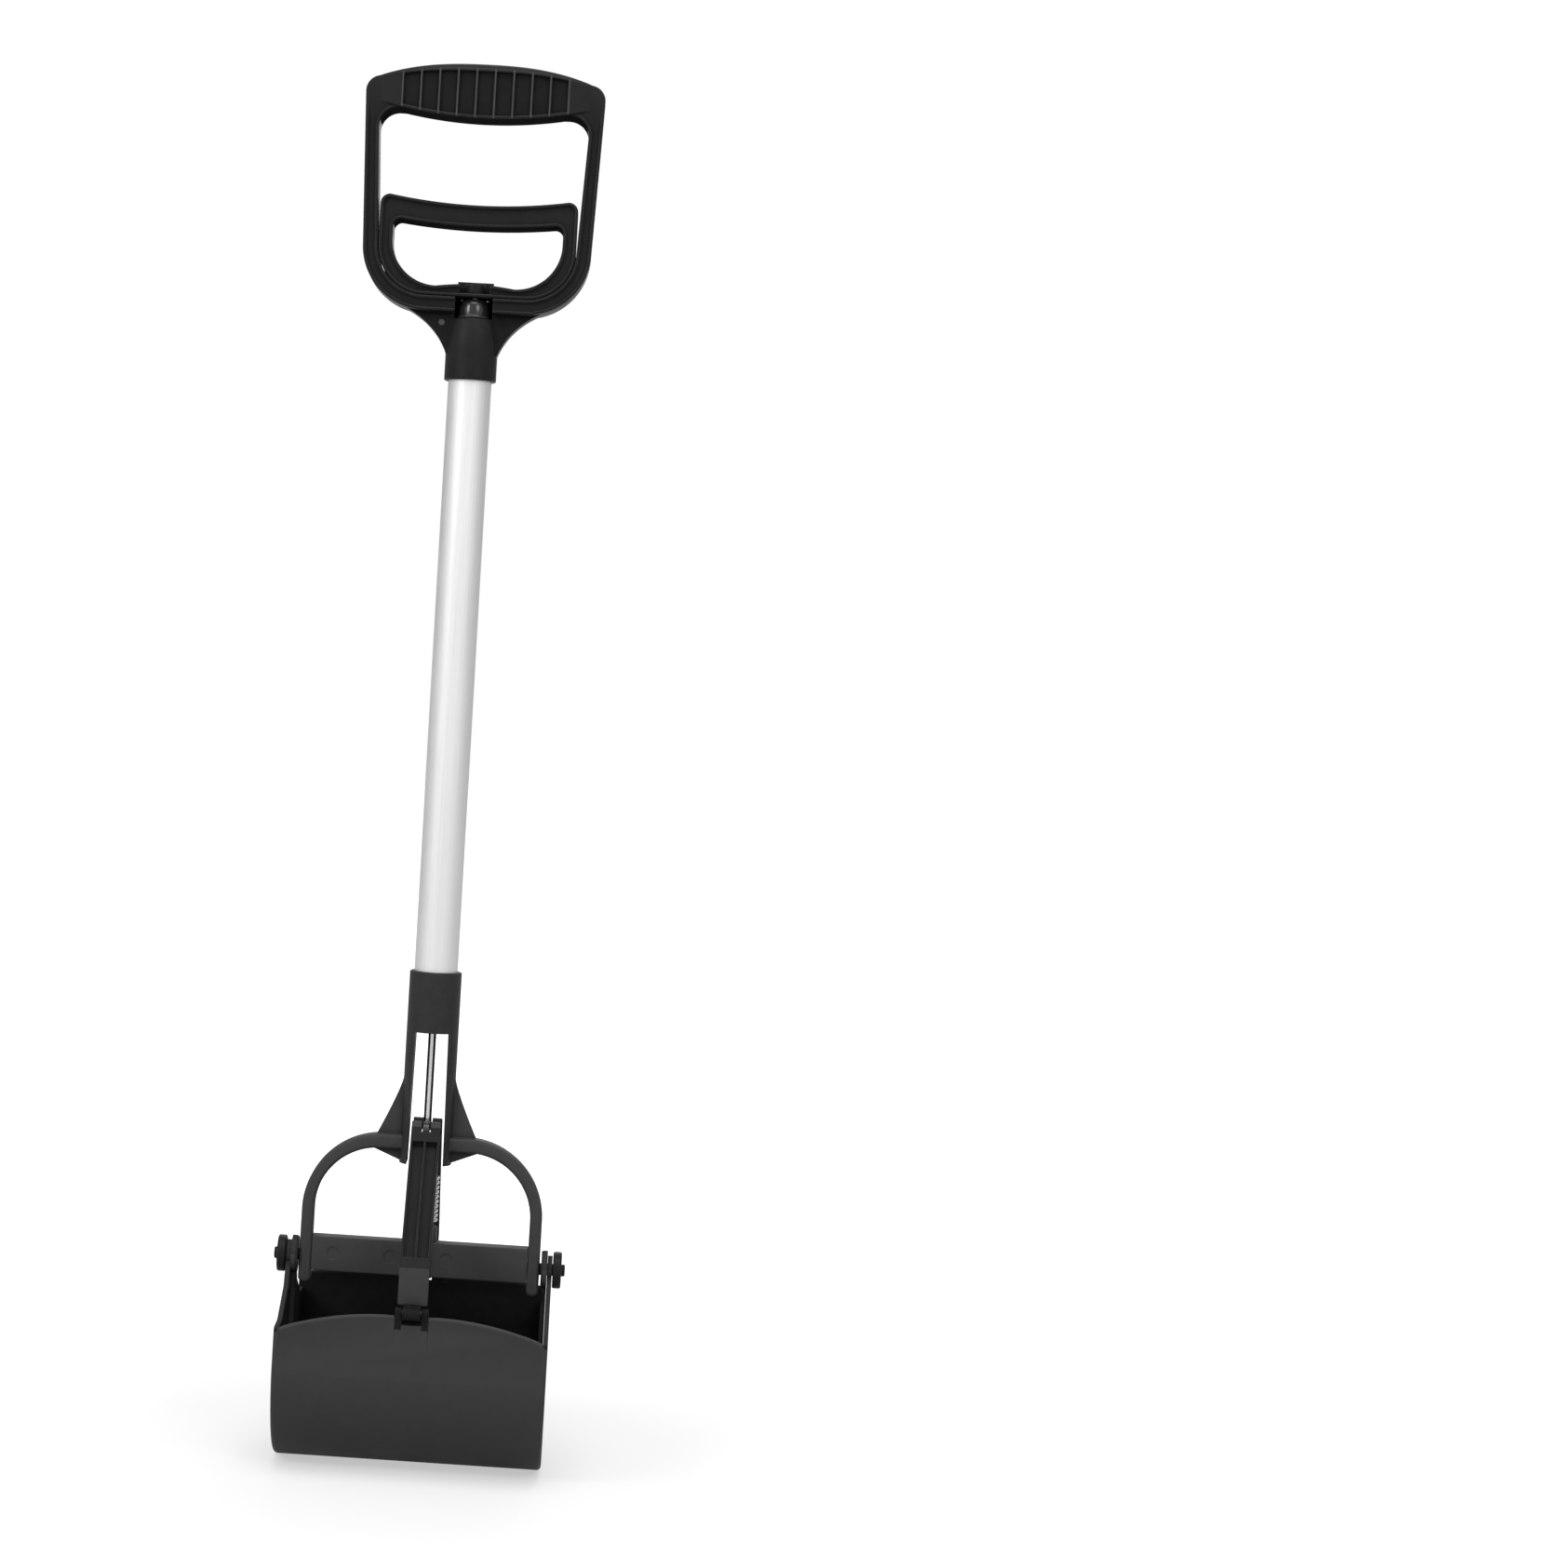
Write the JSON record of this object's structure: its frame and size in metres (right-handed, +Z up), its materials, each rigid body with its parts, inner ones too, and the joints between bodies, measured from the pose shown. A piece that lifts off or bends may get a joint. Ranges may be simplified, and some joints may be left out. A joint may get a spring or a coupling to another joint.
{
  "type": "pooper scooper",
  "caption": "Long-handled scooper with two spring-closed bucket jaws, opened by a trigger in its D handle through a rod and cranked links.",
  "frame": {"origin": "on the tube's axis, level with the closed jaws' lowest point", "axes": "+Z up along the tube, +X to the scooper's right as seen from the front, the front jaw towards -Y"},
  "size_m": [0.1476, 0.128, 0.7075],
  "materials": {
    "black_plastic": "satin black moulding",
    "charcoal_plastic": "satin charcoal moulding",
    "gloss_plastic": "polished black bush",
    "silver_tube": "satin",
    "bright_steel": "bright"
  },
  "bodies": {
    "frame": {"handle_frame": "black_plastic", "rod_guide": "gloss_plastic", "tube": "silver_tube", "fork": "charcoal_plastic", "crossbar": "charcoal_plastic", "closing_spring": "bright_steel", "left_pivot_pin": "black_plastic", "right_pivot_pin": "black_plastic", "left_pivot_cap": "black_plastic", "right_pivot_cap": "black_plastic", "upper_socket_rivet": "bright_steel", "lower_socket_rivet": "bright_steel"},
    "pull": {"trigger": "black_plastic", "pull_rod": "bright_steel", "rod_ferrule": "black_plastic", "front_link_pin": "bright_steel", "rear_link_pin": "bright_steel"},
    "front_link": {"front_link": "charcoal_plastic"},
    "rear_link": {"rear_link": "charcoal_plastic"},
    "front_jaw": {"front_jaw": "charcoal_plastic", "front_hinge_pin": "bright_steel"},
    "rear_jaw": {"rear_jaw": "charcoal_plastic", "rear_hinge_pin": "bright_steel"}
  },
  "joints": [
    {"name": "trigger_pull", "type": "slide", "parent": "frame", "child": "pull", "axis": [0, 0, 1], "range_m": [0, 0.04], "stiffness_N_per_m": 300, "springref_m": -0.03, "deforming": ["closing_spring"]},
    {"name": "front_link_swing", "type": "hinge", "parent": "pull", "child": "front_link", "pos_m": [0, -0.008, 0.1665], "axis": [1, 0, 0], "range_deg": [0, 1.8]},
    {"name": "rear_link_swing", "type": "hinge", "parent": "pull", "child": "rear_link", "pos_m": [0, 0.008, 0.1665], "axis": [-1, 0, 0], "range_deg": [0, 1.8]},
    {"name": "front_jaw_turn", "type": "hinge", "parent": "frame", "child": "front_jaw", "pos_m": [0, 0, 0.1], "axis": [-1, 0, 0], "range_deg": [0, 37.9]},
    {"name": "rear_jaw_turn", "type": "hinge", "parent": "frame", "child": "rear_jaw", "pos_m": [0, 0, 0.1], "axis": [1, 0, 0], "range_deg": [0, 37.9]}
  ],
  "couplings": [
    {"joint": "front_link_swing", "follows": "trigger_pull", "rad_per_m": 0.776},
    {"joint": "rear_link_swing", "follows": "trigger_pull", "rad_per_m": 0.776},
    {"joint": "front_jaw_turn", "follows": "trigger_pull", "rad_per_m": 16.498},
    {"joint": "rear_jaw_turn", "follows": "trigger_pull", "rad_per_m": 16.498}
  ]
}
